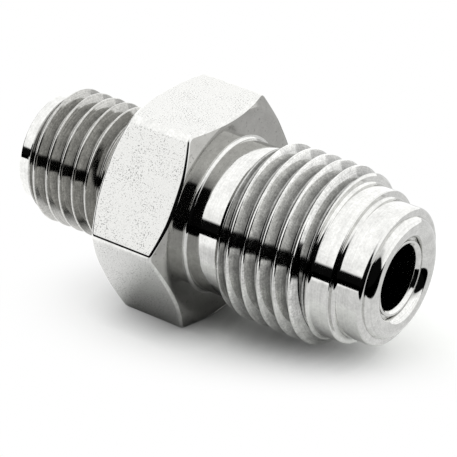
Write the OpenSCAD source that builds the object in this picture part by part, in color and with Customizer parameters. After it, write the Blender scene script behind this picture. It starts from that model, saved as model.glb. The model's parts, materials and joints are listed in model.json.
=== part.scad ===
// Face seal fitting: one turned and milled body. Its axis lies along X, with the face seal
// end toward +X and the tube end toward -X. The hexagon between them lies on one of its flats.

/* [Hexagon] */
// Width across the flats, for the wrench
hex_flats = 17; // [16:0.1:19]
// Length of the hexagon along the axis
hex_width = 7; // [5.5:0.1:10]
// How much smaller than the flats the round end faces of the hexagon are
hex_face_drop = 0.25; // [0.1:0.05:1.2]
// Radius that blends each end face into the corner chamfers
hex_face_round = 1.4; // [0.2:0.1:1.8]
// Slope of the corner chamfers, from the end faces
hex_chamfer_angle = 30; // [20:1:40]

/* [Face seal end] */
// Diameter over the thread crests
seal_thread_d = 14.25; // [14:0.05:15]
// Pitch of the thread
seal_thread_pitch = 1.411; // [1.2:0.001:1.5]
// Length of the thread, with its chamfers at both ends
seal_thread_length = 8.325; // [6:0.025:14]
// Angle round the axis at which the thread starts, from the top toward the front
seal_thread_turn = 90; // [0:1:359]
// Radial depth of the chamfer that leads a nut onto the thread
seal_lead = 0.425; // [0.2:0.025:0.7]
// Length of the plain neck between the hexagon and the thread
seal_neck_length = 2.85; // [1.6:0.05:6]
// Radial clearance of the neck below the thread root
seal_neck_clearance = 0.06; // [0.02:0.01:0.4]
// Length of the plain shoulder beyond the thread
shoulder_length = 1.895; // [1:0.005:4]
// Radial clearance of the shoulder below the thread root
shoulder_clearance = 0.11; // [0.02:0.01:0.15]
// Diameter of the nose that carries the sealing bead
nose_d = 11.1; // [10.8:0.05:11.3]
// Length of the nose, from the shoulder to its rim
nose_length = 2.43; // [1.4:0.01:5]
// Radius of the fillets where the shoulder and the nose start
step_fillet = 0.4; // [0.1:0.05:0.45]
// Radius of the rounded rim of the nose
rim_round = 0.3; // [0.05:0.05:0.5]
// Radius that breaks the edge of the shoulder
edge_round = 0.1; // [0.02:0.02:0.14]

/* [Sealing bead] */
// Diameter of the round section of the bead
bead_section_d = 1.8; // [1.5:0.05:1.9]
// How far the bead stands out from the rim of the nose
bead_rise = 0.65; // [0.3:0.05:0.85]
// Width of the gap between the bead and the lip round the bore
bead_gap = 0.1; // [0.05:0.05:0.2]
// Depth of that gap below the rim of the nose
gap_depth = 0.15; // [0.05:0.05:0.4]
// Height of the lip above the rim of the nose
lip_rise = 0.15; // [0.05:0.05:0.4]
// Width of the top of the lip
lip_width = 0.2; // [0.15:0.05:0.3]
// Radius of the outer edge of the lip
lip_round = 0.1; // [0.05:0.05:0.15]

/* [Tube end] */
// Diameter over the thread crests
tube_thread_d = 11.07; // [10.9:0.01:11.5]
// Pitch of the thread
tube_thread_pitch = 1.27; // [1:0.01:1.4]
// Length of the thread, with its chamfers at both ends
tube_thread_length = 7.6; // [5:0.05:12]
// Angle round the axis at which the thread starts, from the top toward the back
tube_thread_turn = 237; // [0:1:359]
// Length of the plain neck between the hexagon and the thread
tube_neck_length = 1.9; // [1.4:0.05:5]
// Radial clearance of the neck below the thread root
tube_neck_clearance = 0.06; // [0.02:0.01:0.4]
// Length of the plain tip beyond the thread
tip_length = 0.93; // [0.5:0.01:3]
// Radial clearance of the tip below the thread root
tip_clearance = 0.15; // [0.02:0.01:0.4]
// Radius of the rounded edge of the tip
tip_round = 0.2; // [0.05:0.05:0.4]

/* [Bore and tube socket] */
// Diameter of the bore that runs through the fitting
bore_d = 5.2; // [4.6:0.05:5.4]
// Chamfer where the bore opens inside the sealing bead
mouth_chamfer = 0.25; // [0.15:0.05:0.4]
// Outside diameter of the tube
tube_d = 6.35; // [6:0.05:6.6]
// Clearance on the diameter between the tube and its socket
tube_clearance = 0.1; // [0.05:0.01:0.3]
// Depth of the socket, from the tip to the stop for the tube
socket_depth = 7; // [4:0.1:14]
// Diameter of the coned seat at the tip
seat_d = 7.4; // [7:0.05:8]
// Slope of the coned seat, from the axis
seat_angle = 12; // [10:1:20]

/* [Shared] */
// Radius of the fillets where the necks leave the hexagon
neck_fillet = 0.3; // [0.1:0.05:0.6]

/* [Hidden] */
$fn = 96;

// Unified screw thread form: slope of the flanks, depth and crest flat as shares of the pitch
flank_angle = 30;
depth_per_pitch = 0.6134;
crest_flat_per_pitch = 0.125;
steps_per_turn = 50;
// how far a cutter reaches past the surface that it cuts
reach = 0.3;

hex_x = hex_width/2;
hex_face_r = (hex_flats - hex_face_drop)/2;
hex_corner_r = hex_flats/2/cos(180/6);
hex_chamfer_x = (hex_corner_r + reach - hex_face_r)*tan(hex_chamfer_angle);
hex_round_r = hex_face_r - hex_face_round*tan(hex_chamfer_angle/2);

seal_thread_r = seal_thread_d/2;
seal_root_r = seal_thread_r - depth_per_pitch*seal_thread_pitch;
seal_neck_r = seal_root_r - seal_neck_clearance;
shoulder_r = seal_root_r - shoulder_clearance;
nose_r = nose_d/2;
seal_thread_x = hex_x + seal_neck_length;
shoulder_x = seal_thread_x + seal_thread_length;
nose_x = shoulder_x + shoulder_length;
rim_x = nose_x + nose_length;

bore_r = bore_d/2;
lip_x = rim_x + lip_rise;
lip_r = bore_r + mouth_chamfer + lip_width;
bead_section_r = bead_section_d/2;
bead_r = lip_r + bead_gap + bead_section_r;
bead_x = rim_x + bead_rise - bead_section_r;
seal_end_x = rim_x + bead_rise;

tube_thread_r = tube_thread_d/2;
tube_root_r = tube_thread_r - depth_per_pitch*tube_thread_pitch;
tube_neck_r = tube_root_r - tube_neck_clearance;
tip_r = tube_root_r - tip_clearance;
tube_thread_x = hex_x + tube_neck_length;
tip_x = tube_thread_x + tube_thread_length;
tube_end_x = tip_x + tip_length;

socket_r = (tube_d + tube_clearance)/2;
seat_r = seat_d/2;
seat_depth = (seat_r - socket_r)/tan(seat_angle);

// The web of a fillet of radius s, its corner at the origin and its hollow toward +X and +Y
module web(s) {
    difference() {
        translate([-s, -s]) square(2*s);
        translate([s, s]) circle(s);
        translate([s, -2*s]) square(4*s);
        translate([-2*s, s]) square(4*s);
    }
}

// Web that fills the inside corner at radius r and length x, with open space toward +1 or -1
module inside_corner(r, x, s, toward = 1) {
    translate([r, x]) scale([1, toward]) web(s);
}

// Web that is cut off an outside corner there
module outside_corner(r, x, s, toward = 1) {
    translate([r, x]) scale([-1, -toward]) web(s);
}

// Turns a profile, drawn as radius and length, about the X axis
module turned() {
    rotate([0, 90, 0]) rotate_extrude() children();
}

// Sweeps the section of one thread groove along its helix, from x_from to x_to
module thread_groove(crest_r, pitch, x_from, x_to, turn) {
    depth = depth_per_pitch*pitch;
    slope = tan(flank_angle);
    floor_half = (1 - crest_flat_per_pitch)*pitch/2 - depth*slope;
    steps = ceil((x_to - x_from)/pitch*steps_per_turn);
    // points on the helix stand out so that the chords between them lie at the root
    root_r = (crest_r - depth)/cos(180/steps_per_turn);
    top_r = crest_r + reach;
    top_half = floor_half + (top_r - root_r)*slope;
    section = [[-floor_half, root_r], [floor_half, root_r], [top_half, top_r], [-top_half, top_r]];
    sides = len(section);
    points = [
        for (i = [0:steps])
            let (a = turn + 360*i/steps_per_turn, x = x_from + pitch*i/steps_per_turn)
                for (p = section) [x + p[0], -p[1]*sin(a), p[1]*cos(a)]
    ];
    walls = [
        for (i = [0:steps - 1], j = [0:sides - 1])
            let (a = i*sides + j, b = i*sides + (j + 1)%sides, c = a + sides, d = b + sides)
                each [[a, c, b], [b, c, d]]
    ];
    start_cap = [[for (j = [0:sides - 1]) j]];
    end_cap = [[for (j = [sides - 1:-1:0]) steps*sides + j]];
    polyhedron(points = points, faces = concat(start_cap, walls, end_cap), convexity = 10);
}

// Outline of the turned blank as radius and length, from the tube end to the sealing bead
tube_side = [
    [0, -tube_end_x],
    [tip_r, -tube_end_x],
    [tip_r, -tip_x],
    [tube_thread_r, -tip_x + tube_thread_r - tip_r],
    [tube_thread_r, -tube_thread_x - tube_thread_r + tube_neck_r],
    [tube_neck_r, -tube_thread_x],
    [tube_neck_r, -hex_x]
];
face_blend = [
    for (i = [0:6])
        let (a = hex_chamfer_angle*i/6)
            [hex_round_r + hex_face_round*sin(a), hex_x - hex_face_round*(1 - cos(a))]
];
hexagon_side = concat(
    [for (p = face_blend) [p[0], -p[1]]],
    [[hex_corner_r + reach, -hex_x + hex_chamfer_x], [hex_corner_r + reach, hex_x - hex_chamfer_x]],
    [for (i = [6:-1:0]) face_blend[i]]
);
seal_side = [
    [seal_neck_r, hex_x],
    [seal_neck_r, seal_thread_x],
    [seal_thread_r, seal_thread_x + seal_thread_r - seal_neck_r],
    [seal_thread_r, shoulder_x - seal_lead],
    [seal_thread_r - seal_lead, shoulder_x],
    [shoulder_r, shoulder_x],
    [shoulder_r, nose_x],
    [nose_r, nose_x],
    [nose_r, rim_x],
    [bead_r, rim_x],
    [bead_r, rim_x - gap_depth],
    [lip_r, rim_x - gap_depth],
    [lip_r, lip_x],
    [0, lip_x]
];

// The outline with its fillets, its rounded edges and the sealing bead
module profile() {
    difference() {
        union() {
            polygon(concat(tube_side, hexagon_side, seal_side));
            inside_corner(tube_neck_r, -hex_x, neck_fillet, toward = -1);
            inside_corner(seal_neck_r, hex_x, neck_fillet);
            inside_corner(shoulder_r, shoulder_x, step_fillet);
            inside_corner(nose_r, nose_x, step_fillet);
            translate([bead_r, bead_x]) circle(bead_section_r);
        }
        outside_corner(tip_r, -tube_end_x, tip_round, toward = -1);
        outside_corner(shoulder_r, nose_x, edge_round);
        outside_corner(nose_r, rim_x, rim_round);
        outside_corner(lip_r, lip_x, lip_round);
    }
}

// Hexagonal bar that is turned down at both ends
module blank() {
    length = 2*max(tube_end_x, seal_end_x) + 2*reach;
    intersection() {
        rotate([0, 90, 0]) rotate(30) cylinder(h = length, r = hex_corner_r, center = true, $fn = 6);
        turned() profile();
    }
}

// Through bore with its chamfered mouth, and the socket and seat for the tube
module bores() {
    turned() polygon([
        [0, -tube_end_x - reach],
        [seat_r + reach*tan(seat_angle), -tube_end_x - reach],
        [socket_r, -tube_end_x + seat_depth],
        [socket_r, -tube_end_x + socket_depth],
        [bore_r, -tube_end_x + socket_depth],
        [bore_r, lip_x - mouth_chamfer],
        [bore_r + mouth_chamfer + reach, lip_x + reach],
        [0, lip_x + reach]
    ]);
}

module fitting_body() {
    color("silver")
        translate([(tube_end_x - seal_end_x)/2, 0, hex_flats/2])
            difference() {
                blank();
                bores();
                thread_groove(seal_thread_r, seal_thread_pitch, seal_thread_x - seal_thread_pitch/2,
                    shoulder_x + seal_thread_pitch/2, seal_thread_turn);
                rotate(180)
                    thread_groove(tube_thread_r, tube_thread_pitch, tube_thread_x - tube_thread_pitch/2,
                        tip_x + tube_thread_pitch/2, tube_thread_turn);
            }
}

fitting_body();
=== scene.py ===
import json
import math

import bpy
import numpy as np
from bpy.props import FloatProperty, FloatVectorProperty, IntProperty, PointerProperty
from bpy.types import Operator, Panel, PropertyGroup
from mathutils import Matrix, Vector


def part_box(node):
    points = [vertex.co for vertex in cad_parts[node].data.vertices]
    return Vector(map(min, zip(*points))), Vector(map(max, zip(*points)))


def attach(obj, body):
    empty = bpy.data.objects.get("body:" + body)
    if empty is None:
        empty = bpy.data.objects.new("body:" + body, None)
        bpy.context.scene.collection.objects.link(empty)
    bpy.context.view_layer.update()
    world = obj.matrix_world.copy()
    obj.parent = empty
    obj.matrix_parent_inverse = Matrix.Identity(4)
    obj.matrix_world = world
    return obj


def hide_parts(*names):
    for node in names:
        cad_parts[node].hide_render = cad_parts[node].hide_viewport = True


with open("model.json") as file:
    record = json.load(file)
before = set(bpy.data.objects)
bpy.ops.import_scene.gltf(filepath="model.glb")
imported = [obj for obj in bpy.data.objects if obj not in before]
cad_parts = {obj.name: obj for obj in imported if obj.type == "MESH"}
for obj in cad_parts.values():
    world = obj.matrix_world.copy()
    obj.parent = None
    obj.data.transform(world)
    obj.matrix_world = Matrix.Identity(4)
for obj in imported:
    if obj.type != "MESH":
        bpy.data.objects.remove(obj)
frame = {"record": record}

bl_info = {
    "name": "Face seal fitting",
    "version": (1, 0, 0),
    "blender": (4, 5, 0),
    "location": "View3D > Sidebar > Fitting",
    "description": "Polished steel fitting with a face seal end, wrench flats and a tube end",
    "category": "Object",
}

MM = 0.001
NODE = "fitting_body"
BOX_LOW, BOX_HIGH = (Vector(corner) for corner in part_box(NODE))
MOUNTS = {mount["name"]: mount for mount in frame["record"]["mounts"]}
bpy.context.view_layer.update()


def mount_radius(name):
    return MOUNTS[name]["dims"]["r_mm"] * MM


def mount_length(name):
    return MOUNTS[name]["dims"]["length_mm"] * MM


def length(name, description, default):
    return FloatProperty(name=name, description=description, default=default, min=0.0,
                         unit="LENGTH", precision=5)


def angle(name, description, degrees):
    return FloatProperty(name=name, description=description, default=math.radians(degrees), subtype="ANGLE")


def share(name, description, default):
    return FloatProperty(name=name, description=description, default=default, min=0.0, max=1.0)


def colour(name, description, default):
    return FloatVectorProperty(name=name, description=description, default=default, subtype="COLOR",
                               size=3, min=0.0, max=1.0)


# ---------------------------------------------------------------------------
# Sizes and colours
# ---------------------------------------------------------------------------

class FittingSizes(PropertyGroup):
    """Sizes of the turned body, measured outward from the middle of the hexagon"""

    hex_flats: length("Hexagon across flats", "Width over two opposite flats", BOX_HIGH.z - BOX_LOW.z)
    hex_width: length("Hexagon width", "Length of the hexagon along the axis", 7.0 * MM)
    hex_face: length("Hexagon face", "Diameter of the round end faces of the hexagon", 16.75 * MM)
    hex_blend: length("Hexagon face blend", "Radius that blends the end faces into the chamfers", 1.4 * MM)
    hex_edge: length("Hexagon corner rounding", "Radius along the six corners", 0.7 * MM)
    hex_rim: length("Hexagon rim rounding", "Radius between a flat and its chamfer", 0.32 * MM)
    neck_fillet: length("Neck fillet", "Radius where the necks leave the hexagon", 0.3 * MM)

    seal_thread_r: length("Seal thread radius", "Crest radius of the large thread",
                          mount_radius("seal_thread"))
    seal_pitch: length("Seal thread pitch", "Distance from crest to crest", 1.411 * MM)
    seal_neck: length("Seal neck length", "Plain neck between the hexagon and the thread", 2.85 * MM)
    seal_length: length("Seal thread length", "Thread with both of its chamfers", mount_length("seal_thread"))
    seal_lead: length("Seal thread lead", "Radial depth of the outer chamfer", 0.425 * MM)
    shoulder: length("Shoulder length", "Plain shoulder beyond the thread", 1.895 * MM)
    nose_r: length("Nose radius", "Radius of the nose that carries the bead", mount_radius("seal_nose"))
    nose: length("Nose length", "From the shoulder to the rim", 2.43 * MM)
    step_fillet: length("Step fillet", "Radius where shoulder and nose start", 0.4 * MM)
    rim_round: length("Rim rounding", "Radius of the rim of the nose", 0.3 * MM)

    bead_r: length("Bead section radius", "Radius of the round section of the bead", 0.9 * MM)
    bead_circle: length("Bead circle radius", "Radius of the circle that the bead follows",
                        mount_radius("sealing_bead"))
    bead_rise: length("Bead rise", "How far the bead stands out from the rim", 0.65 * MM)
    lip_r: length("Lip radius", "Outer radius of the lip round the bore", 3.05 * MM)
    lip_rise: length("Lip rise", "How far the lip stands out from the rim", 0.15 * MM)
    mouth: length("Mouth chamfer", "Chamfer where the bore opens", 0.25 * MM)

    tube_thread_r: length("Tube thread radius", "Crest radius of the small thread",
                          mount_radius("tube_thread"))
    tube_pitch: length("Tube thread pitch", "Distance from crest to crest", 1.27 * MM)
    tube_neck: length("Tube neck length", "Plain neck between the hexagon and the thread", 1.9 * MM)
    tube_length: length("Tube thread length", "Thread with both of its chamfers", mount_length("tube_thread"))
    tip: length("Tip length", "Plain tip beyond the thread", 0.93 * MM)
    tip_round: length("Tip rounding", "Radius of the edge of the tip", 0.2 * MM)

    bore_r: length("Bore radius", "Radius of the bore", mount_radius("flow_bore"))
    socket_r: length("Socket radius", "Radius of the tube socket", mount_radius("tube_socket"))
    socket_depth: length("Socket depth", "From the tip to the stop for the tube", 7.0 * MM)
    seat_r: length("Seat radius", "Radius of the coned seat at the tip", 3.7 * MM)
    crest_round: length("Crest rounding", "Radius on the edges of the thread crests", 0.12 * MM)
    root_round: share("Root rounding", "Radius of the thread roots, as a share of the pitch", 0.11)
    seal_turn: angle("Seal thread start", "Angle at which the large thread starts", 19)
    tube_turn: angle("Tube thread start", "Angle at which the small thread starts", 290)
    steps: IntProperty(name="Steps", description="Columns across each sixth of a turn",
                       default=40, min=8, max=90)


class FittingFinish(PropertyGroup):
    """Colour and gloss of the steel"""

    steel: colour("Steel", "Colour of the polished steel", (0.62, 0.62, 0.605))
    dull: colour("Dull steel", "Colour of the small thread, which is not polished", (0.42, 0.417, 0.4))
    faced: colour("Faced steel", "Colour of the end faces of the hexagon", (0.34, 0.337, 0.322))
    # painted shade: how much darker the thread roots are coloured, standing in for the shade in the grooves
    seal_root_shade: share("Seal painted root shade", "How dark the large thread gets in its roots", 0.5)
    tube_root_shade: share("Tube painted root shade", "How dark the small thread gets in its roots", 0.7)
    turned_gloss: share("Turned roughness", "Roughness of the turned surfaces", 0.05)
    thread_gloss: share("Thread roughness", "Roughness of the threads", 0.08)
    flat_gloss: share("Flat roughness", "Roughness of the wrench flats", 0.15)
    faced_gloss: share("Faced roughness", "Roughness of the end faces of the hexagon", 0.1)
    grain: length("Grain size", "Size of the grain of the flats", 0.09 * MM)


class StageSettings(PropertyGroup):
    """Floor, light and viewpoint"""

    floor: colour("Floor", "Colour of the floor", (0.96, 0.97, 0.955))
    floor_left: FloatProperty(name="Floor past the tube end", default=1.45, min=0.0,
                              description="Brightness of the floor as polished metal sees it there")
    floor_right: share("Floor elsewhere", "Brightness of the floor as polished metal sees it", 0.9)
    # painted shade: the floor colour is darkened by occlusion this far round the part, on top of its real
    # shadow
    painted_contact_shade: length("Painted contact shade", "How far the floor darkens where the part stands close over it", 3.0 * MM)
    halo: share("Halo", "How much the dome dims round its dark opening", 0.7)
    dome: FloatProperty(name="Dome", description="Brightness of the white dome", default=1.5, min=0.0)
    dark: share("Opening", "Brightness of the dark opening of the dome", 0.004)
    azimuth: angle("Viewpoint azimuth", "From the front, toward the sealing end", 33.32)
    elevation: angle("Viewpoint elevation", "Above the floor", 29.71)
    roll: angle("Viewpoint roll", "Lean of the camera about its own axis", 2.84)
    distance: length("Viewpoint distance", "From the camera to the point it aims at", 219.04 * MM)
    lens: FloatProperty(name="Lens", description="Focal length", default=219.3, min=10.0, unit="CAMERA")


# ---------------------------------------------------------------------------
# Turned body: rows of points that run along the section, one column for each angle
# ---------------------------------------------------------------------------

TURNED, SEAL_THREAD, TUBE_THREAD, FLAT, FACE = range(5)

# unified screw thread form: slope of the flanks, depth and crest flat as shares of the pitch
FLANK_ANGLE = math.radians(30)
DEPTH_PER_PITCH = 0.6134
CREST_PER_PITCH = 0.125

SIXTH = math.pi / 3
HEX_CHAMFER_ANGLE = math.radians(30)
SEAT_ANGLE = math.radians(12)

# how far below the thread roots the plain lengths lie
NECK_CLEARANCE = 0.06 * MM
SHOULDER_CLEARANCE = 0.11 * MM
TIP_CLEARANCE = 0.15 * MM

# steps of the arcs of the section
FINE, COARSE, ROOT_STEPS, CREST_STEPS = 8, 4, 8, 2

# lengths below which two places count as one, and a groove counts as no cut
TOUCH = 1e-7
WELD_GRID = 2e-8
SHALLOW = 1e-9
SAME = 1e-10


class Section:
    """Rows of (length, radius) points. Each row keeps how the strip that follows it is curved."""

    def __init__(self, columns):
        self.count = len(columns)
        self.points = []
        self.kinds = []
        self.finishes = []
        self.arcs = []
        self.arc = 0

    def row(self, point, kind="turned", finish=TURNED, arc=0):
        point = np.asarray(point, float)
        self.points.append(np.broadcast_to(point, (self.count, 2)).copy())
        self.kinds.append(kind)
        self.finishes.append(finish)
        self.arcs.append(arc)

    def drop_last(self):
        """Takes off the last row, where a thread starts from a point of its own."""
        for rows in (self.points, self.kinds, self.finishes, self.arcs):
            rows.pop()

    def run(self, points, kind="turned", finish=TURNED, curved=False):
        """Adds points in order; a curved run is one smooth arc."""
        if curved:
            self.arc += 1
        for i, point in enumerate(points):
            inside = curved and i < len(points) - 1
            self.row(point, kind, finish, self.arc if inside else 0)

    def path(self, corners, radii, steps=COARSE):
        """Adds a path of turned corners, each rounded to its own radius."""
        corners = [np.broadcast_to(np.asarray(c, float), (self.count, 2)) for c in corners]
        for i, corner in enumerate(corners):
            if radii[i] > 0:
                self.run(round_corner(corners[i - 1], corner, corners[i + 1], radii[i], steps), curved=True)
            else:
                self.row(corner)


def unit(v):
    """Vectors brought to length 1; a vector without length stays as it is."""
    size = np.linalg.norm(v, axis=-1, keepdims=True)
    return v / np.where(size < 1e-12, 1.0, size)


def arc_points(corner, come, go, reach, steps):
    """Points of the arc from direction come into direction go, tangent at reach from the corner."""
    start, end = corner - come * reach, corner + go * reach
    middle = unit(go - come)
    bend = np.clip((come * go).sum(-1, keepdims=True), -1.0, 1.0)
    half = np.arccos(bend) / 2
    radius = reach / np.maximum(np.tan(half), 1e-6)
    centre = corner + middle * radius / np.maximum(np.cos(half), 1e-6)
    points = []
    for i in range(steps + 1):
        t = i / steps
        sweep = 2 * half
        small = np.sin(sweep) < 1e-6
        safe = np.where(small, 1.0, np.sin(sweep))
        a = np.where(small, 1 - t, np.sin((1 - t) * sweep) / safe)
        b = np.where(small, t, np.sin(t * sweep) / safe)
        points.append(centre + a * (start - centre) + b * (end - centre))
    return points


def round_corner(before, corner, after, radius, steps):
    """Points of the arc that rounds a corner; it takes up less than half of either side."""
    most = 0.48
    come, go = unit(corner - before), unit(after - corner)
    bend = np.clip((come * go).sum(-1, keepdims=True), -1.0, 1.0)
    reach = radius * np.tan(np.arccos(bend) / 2)
    limit = most * np.minimum(np.linalg.norm(corner - before, axis=-1, keepdims=True),
                              np.linalg.norm(after - corner, axis=-1, keepdims=True))
    return arc_points(corner, come, go, np.minimum(reach, limit), steps)


def thread_points(angles, base, pitch, first_x, turn, hand, crest_round, root_round):
    """Outline of a threaded length at each angle, as (kind, points, curved) runs that go outward.

    base is the plain outline of the thread blank. Each groove is a V with a round root, and its
    walls and edges are clipped where they leave the blank.
    """
    slope = math.tan(FLANK_ANGLE)
    base = np.asarray(base, float)
    sharp_root = base[:, 1].max() - (1 - CREST_PER_PITCH) / 2 * pitch / slope
    last_x = base[-1, 0]
    # the most that an arc takes up of a wall, of a crest, and of a pitch at the end of the thread
    crest_wall, root_wall, crest_land, end_room = 0.3, 0.65, 0.45, 0.1

    def blank(x):
        return np.where(x > last_x + 1e-12, -1.0, np.interp(x, base[:, 0], base[:, 1]))

    phase = (hand * angles - turn) / (2 * math.pi)
    low = math.floor((base[0, 0] - pitch - first_x) / pitch - phase.max())
    high = math.ceil((last_x + pitch - first_x) / pitch - phase.min())
    centres = [first_x + pitch * (phase + k) for k in range(low, high + 1)]

    def groove(x, centre):
        return sharp_root + np.abs(x - centre) / slope

    def depth_at(x):
        value = blank(x)
        for centre in centres:
            value = np.minimum(value, groove(x, centre))
        return value

    def edge(centre, best, side):
        """Where the groove leaves the blank on one side, found by halving."""
        halvings = 44
        inner, outer = best.copy(), best + side * pitch
        for _ in range(halvings):
            middle = (inner + outer) / 2
            cut = blank(middle) > groove(middle, centre)
            inner, outer = np.where(cut, middle, inner), np.where(cut, outer, middle)
        return inner

    spans = []
    for centre in centres:
        tries = [np.full_like(centre, x) for x in base[:, 0]]
        tries.append(np.clip(centre, base[0, 0], last_x))
        scores = np.array([blank(x) - groove(x, centre) for x in tries])
        pick = scores.argmax(0)
        best = np.choose(pick, tries)
        cuts = scores.max(0) > SHALLOW
        corner = np.choose(scores[:len(base)].argmax(0), tries[:len(base)])
        left = np.where(cuts, edge(centre, best, -1), corner)
        right = np.where(cuts, edge(centre, best, 1), corner)
        spans.append((centre, cuts, left, right))

    down, up = unit(np.array([slope, -1.0])), unit(np.array([slope, 1.0]))

    def blank_direction(x, side):
        """Direction of the blank just before x or just after it."""
        a, b = (x - TOUCH, x) if side < 0 else (x, x + TOUCH)
        rise = (np.interp(b, base[:, 0], base[:, 1]) - np.interp(a, base[:, 0], base[:, 1])) / TOUCH
        way = unit(np.stack([np.ones_like(rise), rise], -1))
        if side > 0:
            way = np.where((x > last_x - 2 * TOUCH)[:, None], np.array([0.0, -1.0]), way)
        return way

    grooves = []
    for i, (centre, cuts, left, right) in enumerate(spans):
        land_before = left - (spans[i - 1][3] if i else base[0, 0])
        land_after = (spans[i + 1][2] if i + 1 < len(spans) else last_x) - right
        xs = [left, np.clip(centre, left, right), right]
        at = [np.stack([x, depth_at(x)], -1) for x in xs]
        wall_l = np.linalg.norm(at[1] - at[0], axis=-1)
        wall_r = np.linalg.norm(at[2] - at[1], axis=-1)
        go = cuts.astype(float)

        def span(radius, come, leave, *limits):
            """How far an arc reaches from its corner."""
            bend = np.clip((come * leave).sum(-1), -1, 1)
            reach = np.broadcast_to(radius * np.tan(np.arccos(bend) / 2), centre.shape)
            for limit in limits:
                reach = np.minimum(reach, np.maximum(limit, 0.0))
            return (reach * go)[:, None]

        on_left, on_right = blank_direction(left, -1), blank_direction(right, 1)
        down_all, up_all = np.broadcast_to(down, at[0].shape), np.broadcast_to(up, at[0].shape)
        room_l = crest_land * land_before
        room_r = np.where(right > last_x - 2 * TOUCH, end_room * pitch, crest_land * land_after)
        left_reach = span(crest_round, on_left, down_all, crest_wall * wall_l, room_l)
        root_reach = span(root_round, down_all, up_all, root_wall * wall_l, root_wall * wall_r)
        right_reach = span(crest_round, up_all, on_right, crest_wall * wall_r, room_r)
        grooves.append([arc_points(at[0], on_left, down_all, left_reach, CREST_STEPS),
                        arc_points(at[1], down_all, up_all, root_reach, ROOT_STEPS),
                        arc_points(at[2], up_all, on_right, right_reach, CREST_STEPS)])

    def land(x_from, x_to):
        """Points of the blank between two grooves."""
        points = []
        for x, _ in base:
            clipped = np.clip(np.full_like(x_from, x), x_from, x_to)
            points.append(np.stack([clipped, depth_at(clipped)], -1))
        return points

    def pin(points, first, last):
        """Points of a land that were clipped to its ends take the ends' own radius."""
        out = []
        for p in points:
            p = np.where(np.abs(p[:, :1] - first[:, :1]) < SAME, first, p)
            p = np.where(np.abs(p[:, :1] - last[:, :1]) < SAME, last, p)
            out.append(p)
        return out

    runs = []
    start = np.broadcast_to(base[0], (len(angles), 2))
    for pieces in grooves:
        end = pieces[0][0]
        runs.append(("turned", pin(land(start[:, 0], end[:, 0]), start, end), False))
        for piece in pieces:
            runs.append(("helix", piece, True))
        start = pieces[2][-1]
    end = np.broadcast_to(base[-1], (len(angles), 2))
    end = np.where(start[:, :1] > last_x - SAME, start, end)
    runs.append(("turned", pin(land(start[:, 0], np.maximum(end[:, 0], start[:, 0])), start, end), False))
    return runs


def flat_half_angle(flats, corner_round):
    """Angle from the middle of a flat to where its rounded corner starts."""
    return math.atan((flats / 2 - corner_round) * math.tan(SIXTH / 2) / (flats / 2))


def hexagon_side(angles, flats, corner_round):
    """Distance from the axis to the hexagon's side at each angle, and whether that is a rounded corner."""
    off = np.abs((angles + SIXTH / 2) % SIXTH - SIXTH / 2)
    side = flats / 2 / np.cos(off)
    centre = (flats / 2 - corner_round) / math.cos(SIXTH / 2)
    tangent = flat_half_angle(flats, corner_round)
    from_corner = SIXTH / 2 - off
    inner = np.maximum(corner_round ** 2 - (centre * np.sin(from_corner)) ** 2, 0.0)
    corner = centre * np.cos(from_corner) + np.sqrt(inner)
    return np.where(off > tangent, corner, side), off > tangent


def column_angles(sizes):
    """Even steps across each flat, with close steps round each corner, from 0 to a full turn."""
    tangent = flat_half_angle(sizes.hex_flats, sizes.hex_edge)
    near = SIXTH / 2 - tangent
    corner_steps = [near * i / 3 for i in range(-3, 4)]
    flat_steps = np.linspace(-tangent, tangent, sizes.steps + 1)[1:-1]
    angles = []
    for k in range(6):
        angles += [k * SIXTH + a for a in flat_steps]
        angles += [k * SIXTH + SIXTH / 2 + a for a in corner_steps]
    angles = np.sort(np.mod(np.array(angles), 2 * math.pi))
    angles = angles[np.concatenate([[True], np.diff(angles) > 1e-9])]
    return np.concatenate([angles, [angles[0] + 2 * math.pi]])


def add_thread(section, runs, finish, outward):
    """Adds the runs of a thread in order, or backward when the section comes in from the end."""
    if not outward:
        runs = [(kind, points[::-1], curved) for kind, points, curved in reversed(runs)]
    for kind, points, curved in runs:
        section.run(points, kind, TURNED if kind == "turned" else finish, curved)


def thread_root(crest_r, pitch):
    """Radius of the roots of a thread."""
    return crest_r - DEPTH_PER_PITCH * pitch


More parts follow.
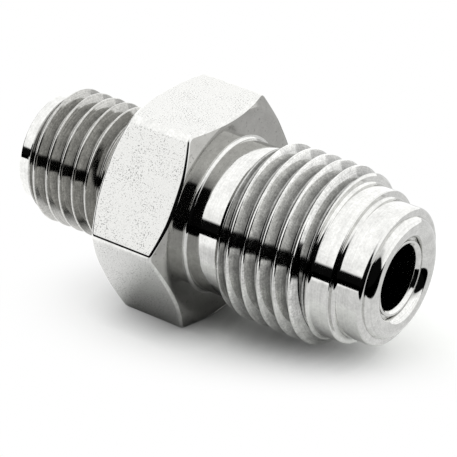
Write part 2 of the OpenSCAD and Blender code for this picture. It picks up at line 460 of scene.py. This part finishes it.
def body_section(s, angles):
    """The whole closed section, from the stop in the socket out through the seal end and back."""
    section = Section(angles)
    half = s.hex_width / 2
    seal_root = thread_root(s.seal_thread_r, s.seal_pitch)
    seal_neck_r, shoulder_r = seal_root - NECK_CLEARANCE, seal_root - SHOULDER_CLEARANCE
    thread_x = half + s.seal_neck
    shoulder_x = thread_x + s.seal_length
    nose_x = shoulder_x + s.shoulder
    rim_x = nose_x + s.nose
    lip_x = rim_x + s.lip_rise
    tube_root = thread_root(s.tube_thread_r, s.tube_pitch)
    tube_neck_r, tip_r = tube_root - NECK_CLEARANCE, tube_root - TIP_CLEARANCE
    tube_x = half + s.tube_neck
    tip_x = tube_x + s.tube_length
    end_x = tip_x + s.tip

    # bore, mouth and lip
    gap_depth, mouth_round, lip_inside, lip_outside = 0.15 * MM, 0.3 * MM, 0.06 * MM, 0.07 * MM
    bead_x = rim_x + s.bead_rise - s.bead_r
    gap_x = rim_x - gap_depth
    gap_r = s.bead_circle - math.sqrt(s.bead_r ** 2 - (gap_x - bead_x) ** 2)
    section.path(
        [(s.socket_depth - end_x, s.bore_r), (lip_x - s.mouth, s.bore_r), (lip_x, s.bore_r + s.mouth),
         (lip_x, s.lip_r), (gap_x, s.lip_r), (gap_x, gap_r)],
        [0, mouth_round, lip_inside, lip_outside, 0, 0])
    # sealing bead
    bead_points = 27
    start = math.atan2(gap_x - bead_x, -(s.bead_circle - gap_r))
    finish = math.atan2(rim_x - bead_x, math.sqrt(s.bead_r ** 2 - (rim_x - bead_x) ** 2))
    bead = [(bead_x + s.bead_r * math.sin(a), s.bead_circle + s.bead_r * math.cos(a))
            for a in np.linspace(start, finish, bead_points)]
    section.run(bead, curved=True)
    # rim, nose, step and shoulder
    shoulder_edge = 0.1 * MM
    lead_r = s.seal_thread_r - s.seal_lead
    section.path(
        [(rim_x, bead[-1][1]), (rim_x, s.nose_r), (nose_x, s.nose_r), (nose_x, shoulder_r),
         (shoulder_x, shoulder_r), (shoulder_x, lead_r)],
        [0, s.rim_round, s.step_fillet, shoulder_edge, s.step_fillet, 0], steps=FINE)
    section.drop_last()
    # large thread, then its neck
    bevel = 0.03 * MM
    runs = thread_points(
        angles,
        [(thread_x, seal_neck_r), (thread_x + s.seal_thread_r - seal_neck_r, s.seal_thread_r),
         (shoulder_x - s.seal_lead, s.seal_thread_r), (shoulder_x - bevel, lead_r + bevel),
         (shoulder_x, lead_r)],
        s.seal_pitch, thread_x - s.seal_pitch / 2, s.seal_turn, 1, s.crest_round, s.root_round * s.seal_pitch)
    add_thread(section, runs, SEAL_THREAD, outward=False)
    blend_r = s.hex_face / 2 - s.hex_blend * math.tan(HEX_CHAMFER_ANGLE / 2)
    section.path([(thread_x, seal_neck_r), (half, seal_neck_r), (half, blend_r)],
                 [0, s.neck_fillet, 0], steps=FINE)
    section.finishes[-2] = FACE
    # hexagon
    blend_points, rim_steps = 9, 5
    side = hexagon_side(angles, s.hex_flats, s.hex_edge)[0]
    chamfer_r = blend_r + s.hex_blend * math.sin(HEX_CHAMFER_ANGLE)

    def face_point(radius):
        """Point of the end face, its blend or its chamfer at a radius, with the slope there."""
        over = np.clip(radius - blend_r, 0, chamfer_r - blend_r)
        x = half - s.hex_blend + np.sqrt(s.hex_blend ** 2 - over ** 2)
        x = x - np.maximum(radius - chamfer_r, 0) * math.tan(HEX_CHAMFER_ANGLE)
        slope = np.minimum(over / np.sqrt(s.hex_blend ** 2 - over ** 2), math.tan(HEX_CHAMFER_ANGLE))
        return np.stack([x, radius], -1), unit(np.stack([-slope, np.ones_like(slope)], -1))

    rim, come = face_point(side)
    go = np.broadcast_to(np.array([-1.0, 0.0]), rim.shape)
    bend = np.arccos((come * go).sum(-1, keepdims=True))
    rim_arc = arc_points(rim, come, go, s.hex_rim * np.tan(bend / 2), rim_steps)
    blend = [face_point(np.minimum(np.full_like(side, radius), rim_arc[0][:, 1]))[0]
             for radius in np.linspace(blend_r, chamfer_r, blend_points)]
    flip = np.array([-1.0, 1.0])
    section.run(blend, curved=True, finish=FACE)
    section.run(rim_arc, "side", TURNED, curved=True)
    section.finishes[-1] = FLAT
    section.run([p * flip for p in reversed(rim_arc)], "side", TURNED, curved=True)
    section.kinds[-1] = "turned"
    section.run([p * flip for p in reversed(blend)], curved=True, finish=FACE)
    washer = len(section.points)
    section.path([(-half, blend_r), (-half, tube_neck_r), (-tube_x, tube_neck_r)],
                 [0, s.neck_fillet, 0], steps=FINE)
    section.finishes[washer] = FACE
    # small thread and tip
    runs = thread_points(
        angles,
        [(tube_x, tube_neck_r), (tube_x + s.tube_thread_r - tube_neck_r, s.tube_thread_r),
         (tip_x - s.tube_thread_r + tip_r, s.tube_thread_r), (tip_x, tip_r)],
        s.tube_pitch, tube_x - s.tube_pitch / 2, s.tube_turn, -1, s.crest_round, s.root_round * s.tube_pitch)
    runs = [(kind, [p * flip for p in points], curved) for kind, points, curved in runs]
    add_thread(section, runs, TUBE_THREAD, outward=True)
    # tip, seat, socket and stop
    seat_edge = 0.06 * MM
    seat_end = end_x - (s.seat_r - s.socket_r) / math.tan(SEAT_ANGLE)
    section.path(
        [(-tip_x, tip_r), (-end_x, tip_r), (-end_x, s.seat_r), (-seat_end, s.socket_r),
         (s.socket_depth - end_x, s.socket_r)],
        [0, s.tip_round, seat_edge, 0, 0])
    return section


def body_arrays(s):
    """Points, faces, corner normals and finishes of the body."""
    angles = column_angles(s)
    section = body_section(s, angles)
    flat = np.stack(section.points, 1)
    columns, rows = flat.shape[:2]
    after = np.roll(flat, -1, axis=1)
    chord = unit(after - flat)
    arcs = np.array(section.arcs)

    # direction of the section at both ends of each strip
    start, end = chord.copy(), chord.copy()
    for j in range(rows):
        if not arcs[j]:
            continue
        first = arcs[j - 1] != arcs[j]
        last = arcs[(j + 1) % rows] != arcs[j]
        if not first:
            start[:, j] = unit(chord[:, j - 1] + chord[:, j])
        if not last:
            end[:, j] = unit(chord[:, j] + chord[:, (j + 1) % rows])
        if first:
            start[:, j] = 2 * (chord[:, j] * end[:, j]).sum(-1, keepdims=True) * chord[:, j] - end[:, j]
        if last:
            end[:, j] = 2 * (chord[:, j] * start[:, j]).sum(-1, keepdims=True) * chord[:, j] - start[:, j]

    out = np.stack([np.zeros_like(angles), -np.sin(angles), np.cos(angles)], -1)[:, None]
    round_way = np.stack([np.zeros_like(angles), -np.cos(angles), -np.sin(angles)], -1)[:, None]
    along = np.array([1.0, 0.0, 0.0])
    points = flat[..., :1] * along + flat[..., 1:] * out

    kinds = np.array(section.kinds)
    x_mid = flat[..., 0].mean(0)
    lead = np.where(x_mid > 0, s.seal_pitch, s.tube_pitch) / (2 * math.pi)
    lead = np.where(kinds == "helix", lead, 0.0)
    normals = []
    for way, shift in ((start, 0), (end, -1)):
        radius = np.roll(flat[..., 1], shift, axis=1)
        tangent = way[..., :1] * along + way[..., 1:] * out
        around = lead[None, :, None] * along + radius[..., None] * round_way
        place = np.roll(points, shift, axis=1)
        real = np.roll(place[:-1], -1, axis=0) - np.roll(place[:-1], 1, axis=0)
        real = np.concatenate([real, real[:1]])
        around = np.where((kinds == "side")[None, :, None], real, around)
        normals.append(unit(np.cross(tangent, around)))

    # the frame has its origin under the axis, halfway along the length
    shift = Vector((-(seal_end_x(s) - tube_end_x(s)) / 2, 0, s.hex_flats / 2))
    points = points + np.array(shift)

    # weld points that coincide, and drop the faces that closed up
    keys = np.round(points.reshape(-1, 3) / WELD_GRID).astype(np.int64)
    _, first, weld = np.unique(keys, axis=0, return_index=True, return_inverse=True)
    weld = weld.reshape(columns, rows)
    c, j = np.meshgrid(np.arange(columns - 1), np.arange(rows), indexing="ij")
    k = (j + 1) % rows
    quads = np.stack([weld[c, j], weld[c, k], weld[c + 1, k], weld[c + 1, j]], -1).reshape(-1, 4)
    starts, ends = normals
    corner_normals = np.stack([starts[c, j], ends[c, j], ends[c + 1, j], starts[c + 1, j]], -2)
    corner_normals = corner_normals.reshape(-1, 4, 3)
    finish = np.array(section.finishes)[j]
    rounded = hexagon_side((angles[:-1] + angles[1:]) / 2, s.hex_flats, s.hex_edge)[1]
    finish = np.where((finish == FLAT) & rounded[:, None], TURNED, finish).reshape(-1)
    # a corner whose own direction was lost, or disagrees with its face, takes the direction of the face
    least_agreement = 0.5
    places = points.reshape(-1, 3)[first]
    across = np.cross(places[quads[:, 2]] - places[quads[:, 0]], places[quads[:, 3]] - places[quads[:, 1]])
    across = unit(across)[:, None]
    agrees = (corner_normals * across).sum(-1, keepdims=True) > least_agreement
    corner_normals = np.where(agrees, corner_normals, across)
    faces, face_normals, face_finish = [], [], []
    seen = quads != np.roll(quads, 1, axis=1)
    for quad, normal, keep, kind in zip(quads, corner_normals, seen, finish):
        if keep.sum() < 3:
            continue
        ids = quad[keep]
        if len(set(ids.tolist())) < 3:
            continue
        faces.append(ids.tolist())
        face_normals.append(normal[keep])
        face_finish.append(kind)
    return places, faces, np.concatenate(face_normals), face_finish


def seal_end_x(s):
    """Distance from the middle of the hexagon to the crest of the sealing bead."""
    return s.hex_width / 2 + s.seal_neck + s.seal_length + s.shoulder + s.nose + s.bead_rise


def tube_end_x(s):
    """Distance from the middle of the hexagon to the tip of the tube end."""
    return s.hex_width / 2 + s.tube_neck + s.tube_length + s.tip


# ---------------------------------------------------------------------------
# Steel
# ---------------------------------------------------------------------------

def node(tree, kind, **values):
    """Adds a shader node and sets its options."""
    made = tree.nodes.new(kind)
    for name, value in values.items():
        setattr(made, name, value)
    return made


def math_node(tree, operation, a, b=None, c=None, clamp=False):
    """Adds one step of arithmetic on numbers or sockets, and gives its result."""
    made = node(tree, "ShaderNodeMath", operation=operation, use_clamp=clamp)
    for socket, value in zip(made.inputs, (a, b, c)):
        if value is None:
            continue
        if isinstance(value, (int, float)):
            socket.default_value = value
        else:
            tree.links.new(value, socket)
    return made.outputs[0]


def steel_group():
    """Grain, turning lines, clouds, specks and painted shade in the thread roots, shared by the finishes of
    the steel.
    """
    group = bpy.data.node_groups.new("Steel surface", "ShaderNodeTree")
    sockets = group.interface
    for name, default in (("Grain size", 0.1 * MM), ("Grain depth", 0.2), ("Grain shade", 0.1),
                          ("Line size", 0.1 * MM), ("Line depth", 0.2), ("Line shade", 0.0),
                          ("Cloud size", 1.5 * MM), ("Cloud shade", 0.2), ("Speck size", 0.2 * MM),
                          ("Speck shade", 0.0), ("Speck level", 0.62), ("Roughness", 0.1),
                          ("Roughness change", 0.05), ("Root radius", 0.0), ("Crest radius", 1.0 * MM),
                          ("Root shade", 1.0)):
        made = sockets.new_socket(name=name, in_out="INPUT", socket_type="NodeSocketFloat")
        made.default_value = default
    made = sockets.new_socket(name="Colour", in_out="INPUT", socket_type="NodeSocketColor")
    made.default_value = (0.62, 0.62, 0.605, 1.0)
    sockets.new_socket(name="Colour", in_out="OUTPUT", socket_type="NodeSocketColor")
    sockets.new_socket(name="Roughness", in_out="OUTPUT", socket_type="NodeSocketFloat")
    sockets.new_socket(name="Height", in_out="OUTPUT", socket_type="NodeSocketFloat")
    take = node(group, "NodeGroupInput").outputs
    give = node(group, "NodeGroupOutput").inputs
    link = group.links.new
    noise_mean, noise_roughness, crowding, speck_contrast = 0.5, 0.6, 0.3, 14.0

    place = node(group, "ShaderNodeTexCoord")
    parts = node(group, "ShaderNodeSeparateXYZ")
    link(place.outputs["Object"], parts.inputs[0])
    z = math_node(group, "SUBTRACT", parts.outputs["Z"], (BOX_HIGH.z - BOX_LOW.z) / 2)
    squares = math_node(group, "ADD", math_node(group, "MULTIPLY", parts.outputs["Y"], parts.outputs["Y"]),
                        math_node(group, "MULTIPLY", z, z))
    radius = math_node(group, "SQRT", squares)
    track = node(group, "ShaderNodeCombineXYZ")
    link(parts.outputs["X"], track.inputs["X"])
    link(radius, track.inputs["Y"])

    def noise(source, size, detail):
        made = node(group, "ShaderNodeTexNoise", noise_dimensions="3D")
        made.inputs["Detail"].default_value = detail
        made.inputs["Roughness"].default_value = noise_roughness
        link(source, made.inputs["Vector"])
        link(math_node(group, "DIVIDE", 1.0, take[size]), made.inputs["Scale"])
        return made.outputs["Fac"]

    def even_noise(source, size, detail):
        """Noise that is as often below zero as above it."""
        return math_node(group, "SUBTRACT", noise(source, size, detail), noise_mean)

    def shaded(amount, name):
        return math_node(group, "MULTIPLY_ADD", amount, take[name], 1.0)

    grain = even_noise(place.outputs["Object"], "Grain size", 3.0)
    lines = even_noise(track.outputs[0], "Line size", 2.0)
    clouds = even_noise(place.outputs["Object"], "Cloud size", 4.0)
    # the specks crowd together where the clouds are thick
    specks = noise(place.outputs["Object"], "Speck size", 1.0)
    crowd = math_node(group, "MULTIPLY_ADD", clouds, crowding, specks)
    specks = math_node(group, "SUBTRACT", crowd, take["Speck level"])
    specks = math_node(group, "MULTIPLY", specks, speck_contrast, clamp=True)

    height = math_node(group, "ADD", math_node(group, "MULTIPLY", grain, take["Grain depth"]),
                       math_node(group, "MULTIPLY", lines, take["Line depth"]))
    link(height, give["Height"])
    uneven = math_node(group, "ADD", grain, clouds)
    rough = math_node(group, "MULTIPLY_ADD", uneven, take["Roughness change"], take["Roughness"])
    link(rough, give["Roughness"])

    # painted shade: the thread roots are coloured darker than the crests, standing in for the shade that
    # falls in the grooves
    up = math_node(group, "SUBTRACT", radius, take["Root radius"])
    depth = math_node(group, "SUBTRACT", take["Crest radius"], take["Root radius"])
    up = math_node(group, "DIVIDE", up, depth, clamp=True)
    lost = math_node(group, "SUBTRACT", 1.0, take["Root shade"])
    root = math_node(group, "MULTIPLY_ADD", up, lost, take["Root shade"])
    spotted = math_node(group, "SUBTRACT", 1.0, math_node(group, "MULTIPLY", specks, take["Speck shade"]))
    shade = math_node(group, "MULTIPLY", shaded(grain, "Grain shade"), shaded(lines, "Line shade"))
    shade = math_node(group, "MULTIPLY", shade, shaded(clouds, "Cloud shade"))
    shade = math_node(group, "MULTIPLY", math_node(group, "MULTIPLY", shade, spotted), root)
    tint = node(group, "ShaderNodeVectorMath", operation="SCALE")
    link(take["Colour"], tint.inputs[0])
    link(shade, tint.inputs["Scale"])
    link(tint.outputs[0], give["Colour"])
    return group


def steel(name, group, metal, bump, **values):
    """One finish of the steel: its colour, the height of its relief, and its values for the group."""
    made = bpy.data.materials.new(name)
    made.use_nodes = True
    tree = made.node_tree
    principled = tree.nodes["Principled BSDF"]
    principled.inputs["Metallic"].default_value = 1.0
    surface = node(tree, "ShaderNodeGroup", node_tree=group, name="Steel surface")
    for key, value in values.items():
        surface.inputs[key.replace("_", " ").capitalize()].default_value = value
    surface.inputs["Colour"].default_value = (*metal, 1.0)
    tree.links.new(surface.outputs["Colour"], principled.inputs["Base Color"])
    tree.links.new(surface.outputs["Roughness"], principled.inputs["Roughness"])
    relief = node(tree, "ShaderNodeBump")
    relief.inputs["Strength"].default_value = 1.0
    relief.inputs["Distance"].default_value = bump
    tree.links.new(surface.outputs["Height"], relief.inputs["Height"])
    tree.links.new(relief.outputs["Normal"], principled.inputs["Normal"])
    return made


def steel_finishes(sizes, finish):
    """The five finishes of the body, in the order of TURNED, SEAL_THREAD, TUBE_THREAD, FLAT and FACE."""
    group = steel_group()
    polished, dull, faced = tuple(finish.steel), tuple(finish.dull), tuple(finish.faced)
    thread = dict(
        bump=0.0008 * MM, roughness=finish.thread_gloss, roughness_change=0.08,
        grain_size=0.16 * MM, grain_depth=0.5, grain_shade=1.1,
        line_size=0.12 * MM, line_depth=0.5, line_shade=0.9,
        cloud_size=0.8 * MM, cloud_shade=0.8)
    return (
        steel("Turned steel", group, polished, bump=0.0003 * MM,
              roughness=finish.turned_gloss, roughness_change=0.05,
              grain_size=0.18 * MM, grain_depth=0.3, grain_shade=0.5,
              line_size=0.1 * MM, line_depth=0.5, line_shade=0.4,
              cloud_size=0.9 * MM, cloud_shade=0.5),
        # both thread finishes carry painted shade, coloured darker towards their roots
        steel("Seal thread steel", group, polished,
              root_radius=thread_root(sizes.seal_thread_r, sizes.seal_pitch),
              crest_radius=sizes.seal_thread_r, root_shade=finish.seal_root_shade, **thread),
        steel("Tube thread steel", group, dull,
              root_radius=thread_root(sizes.tube_thread_r, sizes.tube_pitch),
              crest_radius=sizes.tube_thread_r, root_shade=finish.tube_root_shade, **thread),
        steel("Wrench flat steel", group, polished, bump=0.002 * MM,
              roughness=finish.flat_gloss, roughness_change=0.1,
              grain_size=finish.grain, grain_depth=1.0, grain_shade=0.25,
              line_depth=0.0,
              cloud_size=1.8 * MM, cloud_shade=0.12,
              speck_size=0.1 * MM, speck_shade=0.55, speck_level=0.6),
        steel("Faced steel", group, faced, bump=0.0006 * MM,
              roughness=finish.faced_gloss, roughness_change=0.08,
              grain_size=0.1 * MM, grain_depth=0.5, grain_shade=0.2,
              line_size=0.08 * MM, line_depth=0.5, line_shade=0.15,
              cloud_size=1.0 * MM, cloud_shade=0.4,
              speck_size=0.3 * MM, speck_shade=0.3, speck_level=0.66),
    )


class FITTING_OT_body(Operator):
    """Build the turned steel body with both threads, the hexagon and the sealing bead"""

    bl_idname = "fitting.body"
    bl_label = "Fitting body"

    def execute(self, context):
        sizes, finish = context.scene.fitting_sizes, context.scene.fitting_finish
        points, faces, normals, finishes = body_arrays(sizes)
        mesh = bpy.data.meshes.new("steel_body")
        mesh.from_pydata(points.tolist(), [], faces)
        for material in steel_finishes(sizes, finish):
            mesh.materials.append(material)
        mesh.polygons.foreach_set("material_index", np.array(finishes, np.int32))
        mesh.polygons.foreach_set("use_smooth", np.ones(len(faces), bool))
        mesh.normals_split_custom_set(normals.tolist())
        mesh.update()
        body = bpy.data.objects.new("steel_body", mesh)
        context.scene.collection.objects.link(body)
        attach(body, "root")
        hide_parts(NODE)
        return {"FINISHED"}


# ---------------------------------------------------------------------------
# Stage
# ---------------------------------------------------------------------------

FLOOR_SIZE = 4.0

# from the middle of the part to the point that the camera aims at
AIM_SHIFT = Vector((0.08, 0.7, -1.8)) * MM


def floor_material(settings):
    """Pale matte floor that fades to plain white round the part, so that its shadow stays near it; close
    under the part its colour is darkened by painted contact shade.

    Polished metal sees the floor brighter toward the tube end, and sees it end in a dark room in front.
    """
    made = bpy.data.materials.new("Pale floor")
    made.use_nodes = True
    tree = made.node_tree
    tree.nodes.clear()
    link = tree.links.new
    out = node(tree, "ShaderNodeOutputMaterial")
    # painted shade: ambient occlusion darkens the floor colour where the part stands close over it
    painted_contact_shade = node(tree, "ShaderNodeAmbientOcclusion", samples=8)
    painted_contact_shade.inputs["Color"].default_value = (*settings.floor, 1.0)
    painted_contact_shade.inputs["Distance"].default_value = settings.painted_contact_shade
    matte = node(tree, "ShaderNodeBsdfDiffuse")
    link(painted_contact_shade.outputs["Color"], matte.inputs["Color"])
    place = node(tree, "ShaderNodeNewGeometry")
    parts = node(tree, "ShaderNodeSeparateXYZ")
    link(place.outputs["Position"], parts.inputs[0])
    x, y = parts.outputs["X"], parts.outputs["Y"]

    def oval(centre, size, turn=0.0):
        """Distance from the centre of an oval, which is 1 on its outline."""
        dx, dy = (math_node(tree, "SUBTRACT", *pair) for pair in zip((x, y), centre))
        c, s = math.cos(turn), math.sin(turn)
        a = math_node(tree, "ADD", math_node(tree, "MULTIPLY", dx, c / size[0]),
                      math_node(tree, "MULTIPLY", dy, s / size[0]))
        b = math_node(tree, "ADD", math_node(tree, "MULTIPLY", dx, -s / size[1]),
                      math_node(tree, "MULTIPLY", dy, c / size[1]))
        return math_node(tree, "SQRT", math_node(tree, "ADD", math_node(tree, "MULTIPLY", a, a),
                                                 math_node(tree, "MULTIPLY", b, b)))

    def ramp(value, low, high, start=0.0, end=1.0):
        """Goes smoothly from start at low to end at high, and stays level beyond both."""
        made = node(tree, "ShaderNodeMapRange", interpolation_type="SMOOTHSTEP")
        for name, number in (("From Min", low), ("From Max", high), ("To Min", start), ("To Max", end)):
            made.inputs[name].default_value = number
        link(value, made.inputs["Value"])
        return made.outputs["Result"]

    path = node(tree, "ShaderNodeLightPath")

    def seen_by_camera(yes, no):
        """One value for camera rays and another for the rest."""
        made = node(tree, "ShaderNodeMix", data_type="FLOAT")
        link(path.outputs["Is Camera Ray"], made.inputs["Factor"])
        for value, socket in ((no, made.inputs["A"]), (yes, made.inputs["B"])):
            if isinstance(value, float):
                socket.default_value = value
            else:
                link(value, socket)
        return made.outputs["Result"]

    # the shadow lies slantwise across the axis; polished metal sees less of it
    camera_shadow = oval((10 * MM, 8 * MM), (32 * MM, 14 * MM), math.radians(41))
    mirror_shadow = oval((5 * MM, 0.0), (13 * MM, 15 * MM))
    away = seen_by_camera(ramp(camera_shadow, 0.4, 1.0), ramp(mirror_shadow, 0.87, 1.1))
    # the dark room lies past the edge of a round floor, in front of a slanting line
    room = ramp(oval((-53 * MM, 20 * MM), (94 * MM, 94 * MM)), 1.0, 1.04)
    line_start, line_slope, line_fade = 17 * MM, 0.27, 4 * MM
    line_y = math_node(tree, "MULTIPLY", math_node(tree, "SUBTRACT", x, line_start), line_slope)
    front = math_node(tree, "SUBTRACT", line_y, y)
    room = math_node(tree, "MULTIPLY", room, ramp(front, 0.0, line_fade))
    # polished metal sees the lit floor brighter past the tube end
    lit = ramp(x, -15 * MM, -5 * MM, settings.floor_left, settings.floor_right)
    seen = math_node(tree, "MULTIPLY", lit, math_node(tree, "SUBTRACT", 1.0, room))
    white = node(tree, "ShaderNodeEmission")
    link(seen_by_camera(1.0, seen), white.inputs["Strength"])
    shown = math_node(tree, "MAXIMUM", path.outputs["Is Glossy Ray"], path.outputs["Is Transmission Ray"])
    shown = math_node(tree, "MAXIMUM", path.outputs["Is Camera Ray"], shown)
    mix = node(tree, "ShaderNodeMixShader")
    link(math_node(tree, "MULTIPLY", away, shown), mix.inputs[0])
    link(matte.outputs[0], mix.inputs[1])
    link(white.outputs[0], mix.inputs[2])
    link(mix.outputs[0], out.inputs["Surface"])
    return made


def dome_world(settings):
    """White dome with a dark opening toward the front and a dark gap along the horizon beside it."""
    world = bpy.data.worlds.new("White dome")
    world.use_nodes = True
    tree = world.node_tree
    tree.nodes.clear()
    out = node(tree, "ShaderNodeOutputWorld")
    place = node(tree, "ShaderNodeTexCoord")
    parts = node(tree, "ShaderNodeSeparateXYZ")
    tree.links.new(place.outputs["Generated"], parts.inputs[0])
    x, y, z = parts.outputs
    # all in degrees: turns run from the front toward the sealing end, heights up from the horizon
    degree = math.degrees(1.0)
    height = math_node(tree, "MULTIPLY", math_node(tree, "ARCSINE", z), degree)
    to_front = math_node(tree, "MULTIPLY", y, -1.0)
    turn = math_node(tree, "MULTIPLY", math_node(tree, "ARCTAN2", x, to_front), degree)
    foot, opening_top, opening_turn, opening_width, opening_power = -12.0, 49.0, 32.0, 51.5, 2.84
    off = math_node(tree, "DIVIDE", math_node(tree, "SUBTRACT", turn, opening_turn), opening_width)
    off = math_node(tree, "POWER", math_node(tree, "ABSOLUTE", off), opening_power)
    bell = math_node(tree, "EXPONENT", math_node(tree, "MULTIPLY", off, -1.0))
    top = math_node(tree, "MULTIPLY_ADD", bell, opening_top - foot, foot)
    # the gap along the horizon runs on to the left of the opening
    gap_top, gap_left, gap_right, gap_fade = 12.5, -135.0, 10.0, 0.1
    left = math_node(tree, "MULTIPLY", math_node(tree, "SUBTRACT", turn, gap_left), gap_fade, clamp=True)
    right = math_node(tree, "MULTIPLY", math_node(tree, "SUBTRACT", gap_right, turn), gap_fade, clamp=True)
    gap = math_node(tree, "MULTIPLY_ADD", math_node(tree, "MULTIPLY", left, right), gap_top - foot, foot)
    top = math_node(tree, "MAXIMUM", top, gap)
    above = math_node(tree, "SUBTRACT", height, top)
    edge_width, halo_width = 3.0, 20.0
    lit = math_node(tree, "MULTIPLY_ADD", above, 1 / edge_width, 0.5, clamp=True)
    # the dome dims softly round the opening
    fade = math_node(tree, "EXPONENT", math_node(tree, "MULTIPLY", above, -1 / halo_width))
    halo = math_node(tree, "MULTIPLY", math_node(tree, "MULTIPLY", bell, fade), settings.halo)
    lit = math_node(tree, "MULTIPLY", lit, math_node(tree, "SUBTRACT", 1.0, halo, clamp=True))
    glow = math_node(tree, "MULTIPLY_ADD", lit, settings.dome - settings.dark, settings.dark)
    path = node(tree, "ShaderNodeLightPath")
    shown = node(tree, "ShaderNodeMix", data_type="FLOAT")
    tree.links.new(path.outputs["Is Camera Ray"], shown.inputs["Factor"])
    tree.links.new(glow, shown.inputs["A"])
    shown.inputs["B"].default_value = 1.0
    back = node(tree, "ShaderNodeBackground")
    back.inputs["Color"].default_value = (1.0, 1.0, 1.0, 1.0)
    tree.links.new(shown.outputs["Result"], back.inputs["Strength"])
    tree.links.new(back.outputs[0], out.inputs["Surface"])
    return world


class FITTING_OT_stage(Operator):
    """Lay the pale floor, light it from a white dome and set the camera"""

    bl_idname = "fitting.stage"
    bl_label = "Stage"

    def execute(self, context):
        scene = context.scene
        settings = scene.fitting_stage
        half = FLOOR_SIZE / 2
        corners = [(-half, -half, 0), (half, -half, 0), (half, half, 0), (-half, half, 0)]
        mesh = bpy.data.meshes.new("floor")
        mesh.from_pydata(corners, [], [(0, 1, 2, 3)])
        mesh.materials.append(floor_material(settings))
        floor = bpy.data.objects.new("floor", mesh)
        scene.collection.objects.link(floor)
        scene.world = dome_world(settings)
        scene.view_settings.view_transform = "Standard"

        middle = (BOX_LOW + BOX_HIGH) / 2
        aim = Vector((middle.x, 0.0, middle.z)) + AIM_SHIFT
        level = math.cos(settings.elevation)
        back = Vector((math.sin(settings.azimuth) * level, -math.cos(settings.azimuth) * level,
                       math.sin(settings.elevation)))
        data = bpy.data.cameras.new("camera")
        data.sensor_width = 36.0
        data.lens = settings.lens
        data.clip_start = 0.01
        camera = bpy.data.objects.new("camera", data)
        face = back.to_track_quat("Z", "Y").to_matrix().to_4x4()
        camera.matrix_world = (Matrix.Translation(aim + back * settings.distance) @ face
                               @ Matrix.Rotation(settings.roll, 4, "Z"))
        scene.collection.objects.link(camera)
        scene.camera = camera
        return {"FINISHED"}


class FITTING_PT_panel(Panel):
    """Lists the steps that build the fitting"""

    bl_idname = "FITTING_PT_panel"
    bl_label = "Face seal fitting"
    bl_space_type = "VIEW_3D"
    bl_region_type = "UI"
    bl_category = "Fitting"

    def draw(self, context):
        for step in (FITTING_OT_body, FITTING_OT_stage):
            self.layout.operator(step.bl_idname)


CLASSES = (FittingSizes, FittingFinish, StageSettings, FITTING_OT_body, FITTING_OT_stage, FITTING_PT_panel)


def register():
    for cls in CLASSES:
        bpy.utils.register_class(cls)
    bpy.types.Scene.fitting_sizes = PointerProperty(type=FittingSizes)
    bpy.types.Scene.fitting_finish = PointerProperty(type=FittingFinish)
    bpy.types.Scene.fitting_stage = PointerProperty(type=StageSettings)


def unregister():
    del bpy.types.Scene.fitting_stage
    del bpy.types.Scene.fitting_finish
    del bpy.types.Scene.fitting_sizes
    for cls in reversed(CLASSES):
        bpy.utils.unregister_class(cls)


def main():
    register()
    bpy.ops.fitting.body()
    bpy.ops.fitting.stage()


if __name__ == "__main__":
    main()
